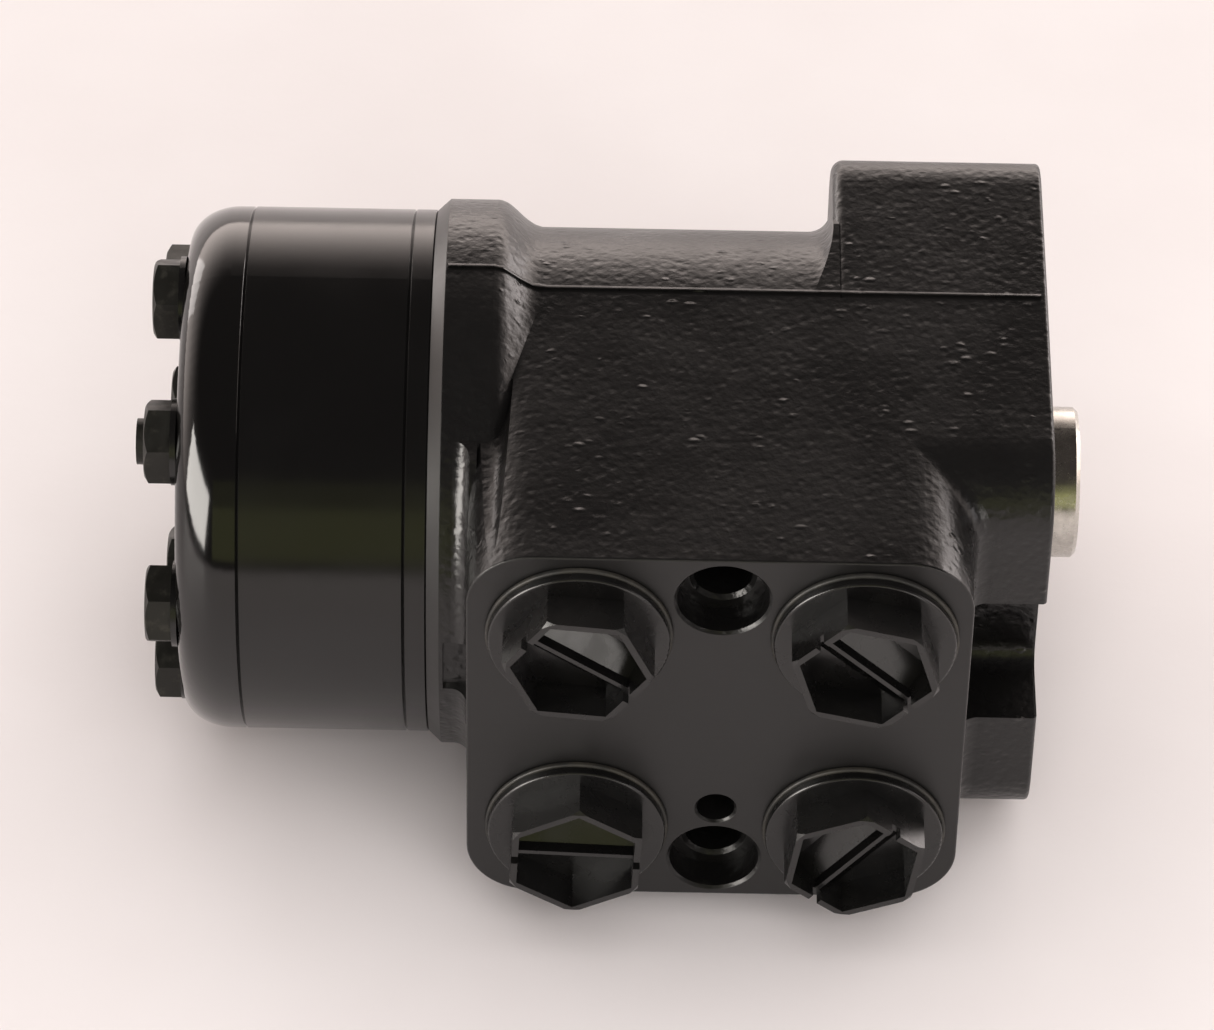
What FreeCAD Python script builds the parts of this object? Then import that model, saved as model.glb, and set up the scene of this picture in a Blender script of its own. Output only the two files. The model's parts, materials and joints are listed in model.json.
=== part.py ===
import FreeCAD, Part
import math
import os

os.makedirs("parts", exist_ok=True)

# Hydrostatic steering unit: a rotary spool valve with a gerotor metering motor.
# Millimetres. +X runs along the motor axis towards the input neck, -Y is the
# normal of the port face, +Z points up.  The origin is the middle of the front
# mounting face.

V = FreeCAD.Vector

# Lengths along the axis, measured from the front mounting face.
NECK_END = 7.5
BLOCK_REAR = -37.0
FLANGE_FRONT = -96.0
SLOPE_END = -87.0
BEVEL_FRONT = -104.4
PLATE_FRONT = -106.6
RING_FRONT = -110.6
RING_REAR = -139.1
COVER_REAR = -150.1

# Outer radii and half widths.
RING_R = 46.4
FLANGE_R = 48.4
WAIST_R = 43.7
BLOCK_HALF = 44.5
BLOCK_BACK_CORNER_R = 13.9
BLOCK_PORT_CORNER_R = 12.0
SEAM_CHAMFER = 0.3
NECK_R = 13.4

# Recess between the lugs of the mounting block.
RECESS_HALF = 14.3
RECESS_FLOOR = 30.0
RECESS_R = 4.0

# Spline and pilot bore in the input neck.
SPLINE_TIP_R = 8.8
SPLINE_ROOT_R = 10.35
SPLINE_MOUTH_R = 10.9
SPLINE_SLOT = 2.7
SPLINE_END = -12.0
PILOT_R = 8.6
PILOT_END = -15.0

# Stepped seats of the shaft seals in the front end of the housing.
NECK_HOLE_R = 14.1
DUST_SEAT_R = 17.8
SEAL_SEAT_R = 17.2

# Cast details where the port block meets the rear flange.
FLUTE_TURN = 40.0
FLUTE_R = 3.0
FLUTE_ROOT_R = 4.6
FLUTE_DEPTH = 0.35
FLUTE_ROOT = 20.0
FLUTE_TOP = 60.0
WEB_R = 3.0
WEB_HALF_Z = 37.4
NOTCH_HALF = 5.0
BLOCK_FILLET = 3.5
WEB_TAIL = 0.9
RIDGE_Y = 0.9
RIDGE_FOOT_Y = 2.3
RIDGE_LIFT = 0.45
RIDGE_SINK = -0.15

# Port block: its face lies PORT_FACE in front of the axis.
PORT_FACE = 62.5
PORT_HALF_Z = 41.7
PORT_X0 = -99.2
PORT_X1 = -13.8
PORT_CORNER_R = 11.5
PORT_MID_X = -56.0
PORT_DX = 24.1
PORT_DZ = 23.8
PORT_HOLE_R = 10.4
PORT_DEPTH = 18.0
CHANNEL_Z = 19.2
# The block narrows from the parting plane towards the port face.
DRAFT = (WAIST_R - PORT_HALF_Z) / PORT_FACE

# Screw pattern that holds cover, gear ring and plate to the housing.
SCREW_COUNT = 7
SCREW_PITCH = 360.0 / SCREW_COUNT
SCREW_R = 34.3
CLEAR_HOLE_R = 4.25
THREAD_HOLE_R = 4.0
SCREW_SHANK_R = 3.95
THREAD_END = -90.0
WASHER_T = 1.0
HEAD_AF = 13.0
HEAD_H = 4.6

# Column bolts (M10) in the mounting block.
COLUMN_BOLT = 29.17
M10_R = 5.0
M10_DEPTH = 18.0

# Valve-block bolts and locating hole on the port face.
VALVE_BOLT_Z = 32.2
VALVE_BORE_R = 7.8
VALVE_BORE_DEPTH = 5.8
LOCATING_Z = -19.4
LOCATING_R = 3.3
LOCATING_DEPTH = 8.0

# Rotary valve.
BORE_R = 19.0
SLEEVE_R = 18.97
SPOOL_R = 13.98
SLEEVE_BORE_R = 14.0
SLEEVE_REAR = -106.2
BEARING_FRONT = -12.5
RACE_T = 2.0
ROLLER_R = 1.23
GROOVE_R = 22.5
GROOVES = ((-84.7, 5.2), (-75.5, 5.2), (-38.2, 5.2), (-29.8, 5.2))
TIMING_X = -96.0
TIMING_R = 29.5
SPRING_X0 = -26.5
SPRING_X1 = -21.0
SPOOL_CORE_R = 9.5
SPOOL_CORE_FRONT = -29.5
SPOOL_REAR = -97.0
PIN_X = -84.0
PIN_R = 4.0
PIN_HALF = 18.6
FORK_RELIEF = 1.0

# Gerotor set.
LOBE_CENTRE_R = 35.5
LOBE_R = 9.5
ECCENTRICITY = 3.6
VALLEY_R = 33.5
ROTOR_TEETH = 6
ROTOR_GAP = 0.04
ROTOR_END_GAP = 0.03
ROTOR_BORE_R = 9.6
ROTOR_SPLINE_R = 11.6

# Face seals between the ring pieces.
SEAL_IN_R = 39.6
SEAL_OUT_R = 42.4
SEAL_DEPTH = 1.9

# Pressure relief valve, parallel to the axis inside the port block.
RELIEF_P = 54.3
RELIEF_R = 5.6
RELIEF_FACE_X = -97.0
RELIEF_END = -68.0

# Anti-cavitation ball below one of the screws.
BALL_SCREW = 1
BUSH_R = 5.1
BALL_R = 4.2
BALL_X = -82.86
BALL_SEAT_X = -79.5
BALL_CHAMBER_R = 4.6

# Port plug.
PLUG_AF = 22.3
PLUG_FLANGE_R = 15.4
PLUG_SEAL_T = 1.0
PLUG_FLANGE_TOP = 2.5
PLUG_TOP = 9.35
PLUG_WALL = 1.15
PLUG_POCKET = 6.8
PLUG_RIB_W = 0.8
PLUG_SLOT_W = 1.8
PLUG_SLOT_DEPTH = 2.05
PLUG_RIDGE_DEPTH = 4.0
PLUG_RIDGE_HALF = 4.8
PLUG_THREAD_R = 10.35
PLUGS = (
    (PORT_MID_X - PORT_DX, PORT_DZ, 114.3),
    (PORT_MID_X + PORT_DX, PORT_DZ, 106.0),
    (PORT_MID_X - PORT_DX, -PORT_DZ, 147.5),
    (PORT_MID_X + PORT_DX, -PORT_DZ, 21.9),
)


def save(shape, name):
    shape.exportStep("parts/" + name + ".step")


def fuse(shapes):
    first = shapes[0]
    if len(shapes) == 1:
        return first
    return first.multiFuse(shapes[1:]).removeSplitter()


def cut(shape, tools):
    return shape.cut(tools)


def rod(r, x0, x1, y=0.0, z=0.0):
    """Cylinder along X from x0 to x1."""
    return Part.makeCylinder(r, x1 - x0, V(x0, y, z), V(1, 0, 0))


def tube(r_out, r_in, x0, x1, y=0.0, z=0.0):
    return rod(r_out, x0, x1, y, z).cut(rod(r_in, x0 - 1, x1 + 1, y, z))


def spin_points(points):
    """Solid of revolution about the X axis from a closed outline of (x, r)."""
    wire = Part.makePolygon([V(x, 0, r) for x, r in points] + [V(points[0][0], 0, points[0][1])])
    return Part.Face(wire).revolve(V(0, 0, 0), V(1, 0, 0), 360)


def spin_edges(edges):
    wire = Part.Wire(Part.__sortEdges__(edges))
    return Part.Face(wire).revolve(V(0, 0, 0), V(1, 0, 0), 360)


def line(a, b):
    return Part.makeLine(V(a[0], 0, a[1]), V(b[0], 0, b[1]))


def curve(points):
    spline = Part.BSplineCurve()
    spline.interpolate([V(x, 0, r) for x, r in points])
    return spline.toShape()


def polar(r, degrees):
    """(y, z) at radius r, the angle counted from the port side (-Y) towards +Z."""
    a = math.radians(degrees)
    return -r * math.cos(a), r * math.sin(a)


def radial_hole(r, x, r0, r1, degrees):
    y0, z0 = polar(r0, degrees)
    y1, z1 = polar(1.0, degrees)
    return Part.makeCylinder(r, r1 - r0, V(x, y0, z0), V(0, y1, z1))


def rounded_outline(u0, u1, w0, w1, r, place):
    """Closed wire of a rounded rectangle; place turns (u, w) into a point."""
    edges = []
    arcs = []
    corners = ((u1 - r, w1 - r, 0), (u0 + r, w1 - r, 90), (u0 + r, w0 + r, 180), (u1 - r, w0 + r, 270))
    for cu, cw, start in corners:
        pts = []
        for step in (0, 45, 90):
            a = math.radians(start + step)
            pts.append(place(cu + r * math.cos(a), cw + r * math.sin(a)))
        arcs.append(pts)
    for i in range(4):
        edges.append(Part.Arc(*arcs[i]).toShape())
        edges.append(Part.makeLine(arcs[i][2], arcs[(i + 1) % 4][0]))
    return Part.Wire(edges)


def hex_outline(across_flats, x, z, p, turn):
    """Hexagon in the plane p in front of the axis; turn is one corner's angle from +X to +Z."""
    r = across_flats / math.sqrt(3.0)
    pts = []
    for i in range(7):
        a = math.radians(turn + 60 * i)
        pts.append(V(x + r * math.cos(a), -p, z + r * math.sin(a)))
    return Part.makePolygon(pts)


def hex_rod(across_flats, x0, x1, y, z, turn):
    r = across_flats / math.sqrt(3.0)
    pts = []
    for i in range(7):
        a = math.radians(turn + 60 * i)
        pts.append(V(x0, y + r * math.cos(a), z + r * math.sin(a)))
    return Part.Face(Part.makePolygon(pts)).extrude(V(x1 - x0, 0, 0))


def post(r, p0, p1, x, z):
    """Cylinder along the port normal, from p0 to p1 in front of the axis."""
    return Part.makeCylinder(r, p1 - p0, V(x, -p0, z), V(0, -1, 0))


def cone_post(r0, r1, p0, p1, x, z):
    return Part.makeCone(r0, r1, p1 - p0, V(x, -p0, z), V(0, -1, 0))


def slab(x0, x1, p0, p1, z0, z1):
    return Part.makeBox(x1 - x0, p1 - p0, z1 - z0, V(x0, -p1, z0))


def screw_angles():
    return [SCREW_PITCH * i for i in range(SCREW_COUNT)]


def valley_angles():
    return [SCREW_PITCH * (i + 0.5) for i in range(SCREW_COUNT)]


# ------------------------------------------------------------------ housing


def rear_flange():
    """Turned rear flange with its bevel and the cast slope down to the waist."""
    slope = curve([
        (FLANGE_FRONT, FLANGE_R), (-94.6, 48.0), (-91.6, 45.6), (-89.4, 44.1), (SLOPE_END, WAIST_R)
    ])
    edges = [
        line((PLATE_FRONT, 0), (PLATE_FRONT, RING_R)),
        line((PLATE_FRONT, RING_R), (BEVEL_FRONT, FLANGE_R)),
        line((BEVEL_FRONT, FLANGE_R), (FLANGE_FRONT, FLANGE_R)),
        slope,
        line((SLOPE_END, WAIST_R), (SLOPE_END, 0)),
        line((SLOPE_END, 0), (PLATE_FRONT, 0)),
    ]
    return spin_edges(edges)


def block_outline(x):
    """Outline of the mounting block: square behind the parting plane, drafted in front of it."""
    back = BLOCK_BACK_CORNER_R
    front = BLOCK_PORT_CORNER_R
    slope = math.atan(DRAFT)
    back_y = BLOCK_HALF - back
    back_z = WAIST_R - back
    front_y = front - BLOCK_HALF
    front_z = WAIST_R + DRAFT * front_y - front / math.cos(slope)
    edges = []
    for side in (1, -1):
        back_arc = arc_points(x, back_y, side * back_z, back, side, (0, 45, 90))
        turns = (90 + math.degrees(slope), 135, 180)
        front_arc = arc_points(x, front_y, side * front_z, front, side, turns)
        edges.append(Part.Arc(*back_arc).toShape())
        edges.append(Part.Arc(*front_arc).toShape())
        edges.append(Part.makeLine(back_arc[2], V(x, 0, side * WAIST_R)))
        edges.append(Part.makeLine(V(x, 0, side * WAIST_R), front_arc[0]))
    ends = (BLOCK_HALF, -BLOCK_HALF)
    for y, z in zip(ends, (back_z, front_z)):
        edges.append(Part.makeLine(V(x, y, z), V(x, y, -z)))
    return Part.Wire(Part.__sortEdges__(edges))


def arc_points(x, y, z, r, side, turns):
    """Three points of a corner arc; turns count from +Y towards the side's Z direction."""
    pts = []
    for degrees in turns:
        a = math.radians(degrees)
        pts.append(V(x, y + r * math.cos(a), z + side * r * math.sin(a)))
    return pts


def mounting_block():
    """Rounded square block with a recess between the lugs on the two port-axis sides."""
    h = BLOCK_HALF
    block = Part.Face(block_outline(BLOCK_REAR)).extrude(V(-BLOCK_REAR, 0, 0))
    rear = [e for e in block.Edges if abs(e.BoundBox.XMax - BLOCK_REAR) < 1e-6]
    block = block.makeFillet(2.2, rear)
    front = [e for e in block.Edges if abs(e.BoundBox.XMin) < 1e-6]
    block = block.makeFillet(0.8, front)
    half, floor, r = RECESS_HALF, RECESS_FLOOR, RECESS_R
    recesses = []
    for side in (1, -1):
        tool = fuse([
            slab(BLOCK_REAR - 1, 1, floor + r, h + 5, -half, half),
            slab(BLOCK_REAR - 1, 1, floor, h + 5, -half + r, half - r),
            rod(r, BLOCK_REAR - 1, 1, -(floor + r), half - r),
            rod(r, BLOCK_REAR - 1, 1, -(floor + r), -half + r),
        ])
        if side < 0:
            tool = tool.mirror(V(0, 0, 0), V(0, 1, 0))
        recesses.append(tool)
    return cut(block, recesses)


def waist_root():
    """Cast fillet between waist and mounting block, kept inside the block outline."""
    x = BLOCK_REAR
    edges = [
        line((x + 1, 40), (x + 1, WAIST_R + 4)),
        line((x + 1, WAIST_R + 4), (x, WAIST_R + 4)),
        Part.Arc(V(x, 0, WAIST_R + 4), V(x - 1.17, 0, WAIST_R + 1.17), V(x - 4, 0, WAIST_R)).toShape(),
        line((x - 4, WAIST_R), (x - 4, 40)),
        line((x - 4, 40), (x + 1, 40)),
    ]
    ring = spin_edges(edges)
    ring = ring.common(Part.Face(block_outline(x - 6)).extrude(V(8, 0, 0)))
    return cut(ring, [slab(x - 6, x + 5, 0, 60, -60, 60), slab(x, x + 5, -60, 0, -RECESS_HALF, RECESS_HALF)])


def port_block():
    """Drafted block that carries the four ports."""
    r = PORT_CORNER_R
    low = rounded_outline(PORT_X0 - 0.6, PORT_X1 + 0.5, -WAIST_R, WAIST_R, r + 0.5, lambda u, w: V(u, 0, w))
    high = rounded_outline(
        PORT_X0, PORT_X1, -PORT_HALF_Z, PORT_HALF_Z, r, lambda u, w: V(u, -PORT_FACE, w)
    )
    block = Part.makeLoft([low, high], True, True)
    face_edges = [e for e in block.Edges if e.BoundBox.YMax < 0.01 - PORT_FACE]
    block = block.makeFillet(0.4, face_edges)
    flutes = []
    for side in (1, -1):
        a = math.radians(FLUTE_TURN)
        reach = r + FLUTE_R - FLUTE_DEPTH
        cx = PORT_X0 + r - reach * math.sin(a)
        cz = side * (PORT_HALF_Z - r + reach * math.cos(a) + 0.5)
        flutes.append(cone_post(FLUTE_ROOT_R, FLUTE_R, FLUTE_ROOT, FLUTE_TOP, cx, cz))
        flutes.append(Part.makeSphere(FLUTE_R, V(cx, -FLUTE_TOP, cz)))
    return cut(block, flutes)


def flange_web():
    """Cast web in the corner between the rear flange and the port block."""
    r = WEB_R
    near = r * (1 - math.sqrt(0.5))
    corner = PORT_X0 - 0.1
    middle = V(corner - near, 0, FLANGE_R + near)
    arc = Part.Arc(V(corner - r, 0, FLANGE_R), middle, V(corner, 0, FLANGE_R + r))
    edges = [
        line((corner - r, FLANGE_R - 1), (corner - r, FLANGE_R)),
        arc.toShape(),
        line((corner, FLANGE_R + r), (corner + 1.2, FLANGE_R + r)),
        line((corner + 1.2, FLANGE_R + r), (corner + 1.2, FLANGE_R - 1)),
        line((corner + 1.2, FLANGE_R - 1), (corner - r, FLANGE_R - 1)),
    ]
    return spin_edges(edges).common(slab(corner - r - 1, corner + 2, 5, 60, -WEB_HALF_Z, WEB_HALF_Z))


def flange_notch():
    """Shallow notch with sloped ends in the flange rim, in front of the relief valve."""
    half, reach, depth = NOTCH_HALF, 2.4, 1.2
    p = FLANGE_R - depth
    x0, x1 = BEVEL_FRONT + 0.7, PORT_X0 - 0.1
    pts = [(-half, p), (half, p), (half + reach, p + 3.0), (-half - reach, p + 3.0)]
    loop = [V(x0, -q, z) for z, q in pts]
    return Part.Face(Part.makePolygon(loop + [loop[0]])).extrude(V(x1 - x0, 0, 0))


def ridge_line(lift):
    """Outline along the flank of the body, raised by lift, as (x, z) points."""
    return [
        (BEVEL_FRONT + 0.4, 42.0),
        (BEVEL_FRONT + 0.4, FLANGE_R + lift),
        (FLANGE_FRONT, FLANGE_R + lift),
        (-94.4, 48.0 + lift),
        (-91.5, 45.6 + lift),
        (-89.3, 44.1 + lift),
        (SLOPE_END, WAIST_R + lift),
        (-1.2, WAIST_R + lift),
        (-1.2, 42.0),
    ]


def parting_ridge():
    """Thin raised casting seam along both sides, steep in front and sloping to the back."""
    sections = ((RIDGE_Y, RIDGE_LIFT), (RIDGE_Y + 0.25, RIDGE_LIFT), (RIDGE_FOOT_Y, RIDGE_SINK))
    pieces = []
    for side in (1, -1):
        wires = []
        for y, lift in sections:
            pts = [V(x, y, side * z) for x, z in ridge_line(lift)]
            wires.append(Part.makePolygon(pts + [pts[0]]))
        pieces.append(Part.makeLoft(wires, True, True))
    return pieces


def housing_passages():
    """Every bore, groove, port, channel and thread of the housing."""
    tools = [rod(BORE_R, PLATE_FRONT - 1, BEARING_FRONT)]
    tools.append(rod(NECK_HOLE_R, BEARING_FRONT - 1, 1))
    tools.append(rod(DUST_SEAT_R, -4.5, 1))
    tools.append(rod(SEAL_SEAT_R, -10.5, -6.5))
    for x, width in GROOVES:
        tools.append(rod(GROOVE_R, x - width / 2, x + width / 2))
    tools.append(tube(SEAL_OUT_R, SEAL_IN_R, PLATE_FRONT - 1, PLATE_FRONT + SEAL_DEPTH))
    for i, angle in enumerate(screw_angles()):
        y, z = polar(SCREW_R, angle)
        if i == BALL_SCREW:
            tools.append(rod(BUSH_R, PLATE_FRONT - 1, -88.0, y, z))
            tools.append(rod(BALL_CHAMBER_R, -89.0, BALL_SEAT_X, y, z))
            tools.append(rod(2.6, BALL_SEAT_X - 1, GROOVES[1][0], y, z))
            tools.append(radial_hole(2.5, GROOVES[1][0], 20.0, SCREW_R, angle))
        else:
            tools.append(rod(THREAD_HOLE_R, PLATE_FRONT - 1, THREAD_END + 1, y, z))
    for angle in valley_angles():
        y, z = polar(TIMING_R, angle)
        tools.append(rod(2.5, PLATE_FRONT - 1, TIMING_X, y, z))
        tools.append(radial_hole(2.2, TIMING_X, BORE_R - 1, TIMING_R, angle))
    for sy in (1, -1):
        for sz in (1, -1):
            y = sy * COLUMN_BOLT
            z = sz * COLUMN_BOLT
            tools.append(rod(M10_R, -M10_DEPTH, 1, y, z))
            tools.append(Part.makeCone(0.2, M10_R, 2.6, V(-M10_DEPTH - 2.6, y, z), V(1, 0, 0)))
    return tools


def port_passages():
    top = PORT_FACE
    tools = []
    channels = (GROOVES[0][0], GROOVES[2][0], GROOVES[1][0], GROOVES[3][0])
    for (x, z, _turn), channel_x in zip(PLUGS, channels):
        side = 1 if z > 0 else -1
        tools.append(post(PORT_HOLE_R, top - 15.0, top + 1, x, z))
        tools.append(post(9.3, top - PORT_DEPTH, top - 14, x, z))
        tools.append(cone_post(PORT_HOLE_R, PORT_HOLE_R + 1.2, top - 1.2, top, x, z))
        tools.append(post(4.0, 13.0, top - PORT_DEPTH + 1, channel_x, side * CHANNEL_Z))
    for z in (VALVE_BOLT_Z, -VALVE_BOLT_Z):
        tools.append(post(VALVE_BORE_R, top - VALVE_BORE_DEPTH, top + 1, PORT_MID_X, z))
        tools.append(cone_post(VALVE_BORE_R, VALVE_BORE_R + 0.5, top - 0.5, top, PORT_MID_X, z))
        tools.append(post(M10_R, top - 23.0, top - VALVE_BORE_DEPTH + 1, PORT_MID_X, z))
        edge = top - VALVE_BORE_DEPTH
        tools.append(cone_post(M10_R, M10_R + 0.7, edge - 0.7, edge, PORT_MID_X, z))
    tools.append(post(LOCATING_R, top - LOCATING_DEPTH, top + 1, PORT_MID_X, LOCATING_Z))
    tools.append(cone_post(LOCATING_R, LOCATING_R + 0.4, top - 0.4, top, PORT_MID_X, LOCATING_Z))
    y = -RELIEF_P
    tools.append(rod(RELIEF_R, PORT_X0 - 2, RELIEF_END, y, 0))
    tools.append(rod(2.5, RELIEF_END - 1, GROOVES[2][0], y, 0))
    tools.append(post(2.2, 20.0, RELIEF_P, GROOVES[2][0], 0))
    tools.append(post(2.2, 20.0, RELIEF_P, GROOVES[1][0], 0))
    return tools


def waist():
    """Half-round back of the waist; the port block closes its flat side."""
    x = -100.0
    arc = Part.Arc(V(x, 0, WAIST_R), V(x, WAIST_R, 0), V(x, 0, -WAIST_R)).toShape()
    wire = Part.Wire([arc, Part.makeLine(V(x, 0, -WAIST_R), V(x, 0, WAIST_R))])
    return Part.Face(wire).extrude(V(BLOCK_REAR + 1 - x, 0, 0))


def block_webs(body):
    """Cast fillets between the port block and the two port-side lugs."""
    edges = []
    for e in body.Edges:
        box = e.BoundBox
        on_lug = abs(box.YMin + BLOCK_HALF) < 0.1 and box.ZMin > 14 and box.ZMax > 30
        beside_lug = box.XMax < PORT_X1 + 0.2 and box.XMin > PORT_X1 - PORT_CORNER_R - 0.2
        if on_lug and beside_lug:
            edges.append(e)
    web = body.makeFillet(BLOCK_FILLET, edges).cut(body)
    # The thin tail of the fillet is trimmed, so it doesn't end in a knife edge.
    web = web.common(slab(PORT_X1 - PORT_CORNER_R + WEB_TAIL, 0, 0, PORT_FACE, 0, BLOCK_HALF + 5))
    return [web, web.mirror(V(0, 0, 0), V(0, 0, 1))]


def make_housing():
    body = rear_flange()
    for piece in (waist(), port_block(), mounting_block(), waist_root()):
        body = body.fuse(piece)
    body = body.removeSplitter()
    for piece in block_webs(body) + [flange_web()] + parting_ridge():
        body = body.fuse(piece)
    body = cut(body.removeSplitter(), [flange_notch()])
    body = cut(body, housing_passages())
    body = cut(body, port_passages())
    return body.removeSplitter()


# --------------------------------------------------------------- ring pieces


def screw_holes(x0, x1, r=CLEAR_HOLE_R):
    tools = []
    for angle in screw_angles():
        y, z = polar(SCREW_R, angle)
        tools.append(rod(r, x0 - 1, x1 + 1, y, z))
    return tools


def disc(x0, x1):
    """Ring-sized disc with a small chamfer at both seams."""
    c = SEAM_CHAMFER
    return spin_points([
        (x0, 0), (x0, RING_R - c), (x0 + c, RING_R), (x1 - c, RING_R), (x1, RING_R - c), (x1, 0)
    ])


def make_plate():
    plate = disc(RING_FRONT, PLATE_FRONT)
    tools = screw_holes(RING_FRONT, PLATE_FRONT)
    tools.append(rod(14.0, RING_FRONT - 1, PLATE_FRONT + 1))
    for angle in valley_angles():
        y, z = polar(TIMING_R, angle)
        tools.append(rod(2.5, RING_FRONT - 1, PLATE_FRONT + 1, y, z))
    return cut(plate, tools)


def make_ring():
    ring = disc(RING_REAR, RING_FRONT)
    cavity = rod(VALLEY_R, RING_REAR - 1, RING_FRONT + 1)
    lobes = []
    for angle in screw_angles():
        y, z = polar(LOBE_CENTRE_R, angle)
        lobes.append(rod(LOBE_R, RING_REAR - 2, RING_FRONT + 2, y, z))
    cavity = cut(cavity, lobes)
    tools = screw_holes(RING_REAR, RING_FRONT)
    tools.append(cavity)
    tools.append(tube(SEAL_OUT_R, SEAL_IN_R, RING_FRONT - SEAL_DEPTH, RING_FRONT + 1))
    tools.append(tube(SEAL_OUT_R, SEAL_IN_R, RING_REAR - 1, RING_REAR + SEAL_DEPTH))
    return cut(ring, tools)


def make_rotor():
    """Six-tooth rotor: the inner parallel curve of the path of the ring lobes' centres."""
    pts = []
    steps = 40 * ROTOR_TEETH
    lobes = ROTOR_TEETH + 1
    for i in range(steps):
        t = 2 * math.pi * i / steps
        u = LOBE_CENTRE_R * math.cos(t) - ECCENTRICITY * math.cos(lobes * t)
        w = LOBE_CENTRE_R * math.sin(t) - ECCENTRICITY * math.sin(lobes * t)
        du = -LOBE_CENTRE_R * math.sin(t) + lobes * ECCENTRICITY * math.sin(lobes * t)
        dw = LOBE_CENTRE_R * math.cos(t) - lobes * ECCENTRICITY * math.cos(lobes * t)
        size = math.hypot(du, dw)
        shift = LOBE_R + ROTOR_GAP
        pts.append((u - shift * dw / size, w + shift * du / size))
    # The lobe row starts at the port side, the rotor centre sits above the axis.
    turned = []
    for u, w in pts:
        p, q = rotor_turn(u, w)
        turned.append(V(RING_REAR + ROTOR_END_GAP, -p, q + ECCENTRICITY))
    spline = Part.BSplineCurve()
    spline.interpolate(turned, PeriodicFlag=True)
    face = Part.Face(Part.Wire(spline.toShape()))
    rotor = face.extrude(V(RING_FRONT - RING_REAR - 2 * ROTOR_END_GAP, 0, 0))
    tools = [rod(ROTOR_BORE_R, RING_REAR - 1, RING_FRONT + 1, 0, ECCENTRICITY)]
    tools += spline_slots(ROTOR_BORE_R, ROTOR_SPLINE_R, 2.9, RING_REAR - 1, RING_FRONT + 1, ECCENTRICITY)
    return cut(rotor, tools)


def rotor_turn(u, w):
    """Turn of the rotor that meshes with the ring when its centre lies above the axis."""
    a = math.radians(ROTOR_PHASE)
    return u * math.cos(a) - w * math.sin(a), u * math.sin(a) + w * math.cos(a)


# With the centre offset by angle q from the port side, the mesh turns it by -q / teeth.
ROTOR_PHASE = -90.0 / ROTOR_TEETH


def spline_slots(r_in, r_out, width, x0, x1, z=0.0, count=12):
    """Twelve straight slots between r_in and r_out, tapering outwards."""
    tools = []
    for i in range(count):
        a = math.radians(360.0 * i / count)
        low, low_half = r_in - 1.0, width / 2 + 0.3
        high, high_half = r_out, width / 2 - 0.4
        outline = [(low, -low_half), (high, -high_half), (high, high_half), (low, low_half)]
        loop = []
        for u, w in outline + [outline[0]]:
            y = u * math.cos(a) - w * math.sin(a)
            loop.append(V(x0, y, z + u * math.sin(a) + w * math.cos(a)))
        tools.append(Part.Face(Part.makePolygon(loop)).extrude(V(x1 - x0, 0, 0)))
    return tools


def make_cover():
    """Domed end cover."""
    rim = []
    flat_r, reach_x, reach_r = 40.2, 8.6, RING_R - 40.2
    for i in range(9):
        a = math.radians(90.0 * i / 8)
        rim.append((COVER_REAR + reach_x * (1 - math.cos(a)), flat_r + reach_r * math.sin(a)))
    edges = [
        line((COVER_REAR, 0), rim[0]),
        curve(rim),
        line(rim[-1], (RING_REAR - SEAM_CHAMFER, RING_R)),
        line((RING_REAR - SEAM_CHAMFER, RING_R), (RING_REAR, RING_R - SEAM_CHAMFER)),
        line((RING_REAR, RING_R - SEAM_CHAMFER), (RING_REAR, 0)),
        line((RING_REAR, 0), (COVER_REAR, 0)),
    ]
    return cut(spin_edges(edges), screw_holes(COVER_REAR, RING_REAR))


def hex_head(x_under, y, z, turn):
    """Hexagon head, its outer face chamfered."""
    top = x_under - HEAD_H
    head = hex_rod(HEAD_AF, top, x_under, y, z, turn)
    r = HEAD_AF / math.sqrt(3.0)
    bevel = Part.makeCone(r - 1.3, r + 0.2, 0.9, V(top, y, z), V(1, 0, 0))
    keep = bevel.fuse(rod(r + 0.2, top + 0.9, x_under + 1, y, z))
    return head.common(keep)


HEAD_TURNS = (12.0, 90.0, 25.0, 47.0, 5.0, 33.0, 90.0)


def make_screws():
    solids = []
    under = COVER_REAR - WASHER_T
    for i, angle in enumerate(screw_angles()):
        if i == BALL_SCREW:
            continue
        y, z = polar(SCREW_R, angle)
        shank = rod(SCREW_SHANK_R, under - 0.5, THREAD_END - 1.5, y, z)
        solids.append(fuse([hex_head(under, y, z, HEAD_TURNS[i]), shank]))
    return Part.makeCompound(solids)


def make_special_screw():
    y, z = polar(SCREW_R, SCREW_PITCH * BALL_SCREW)
    under = COVER_REAR - WASHER_T
    return fuse([
        hex_head(under, y, z, HEAD_TURNS[BALL_SCREW]),
        rod(4.0, under - HEAD_H - 1.4, under - HEAD_H + 1, y, z),
        rod(SCREW_SHANK_R, under - 0.5, PLATE_FRONT + 1.5, y, z),
        rod(3.3, PLATE_FRONT + 1, -93.0, y, z),
    ])


def make_washers():
    solids = []
    for angle in screw_angles():
        y, z = polar(SCREW_R, angle)
        solids.append(tube(7.5, CLEAR_HOLE_R + 0.1, COVER_REAR - WASHER_T, COVER_REAR, y, z))
    return Part.makeCompound(solids)


def make_face_seals():
    solids = []
    for x0 in (PLATE_FRONT, RING_FRONT - SEAL_DEPTH, RING_REAR):
        ring = tube(SEAL_OUT_R - 0.15, SEAL_IN_R + 0.15, x0 + 0.02, x0 + SEAL_DEPTH - 0.02)
        solids.append(ring.makeFillet(0.7, ring.Edges))
    return Part.makeCompound(solids)


# -------------------------------------------------------------- rotary valve


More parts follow.
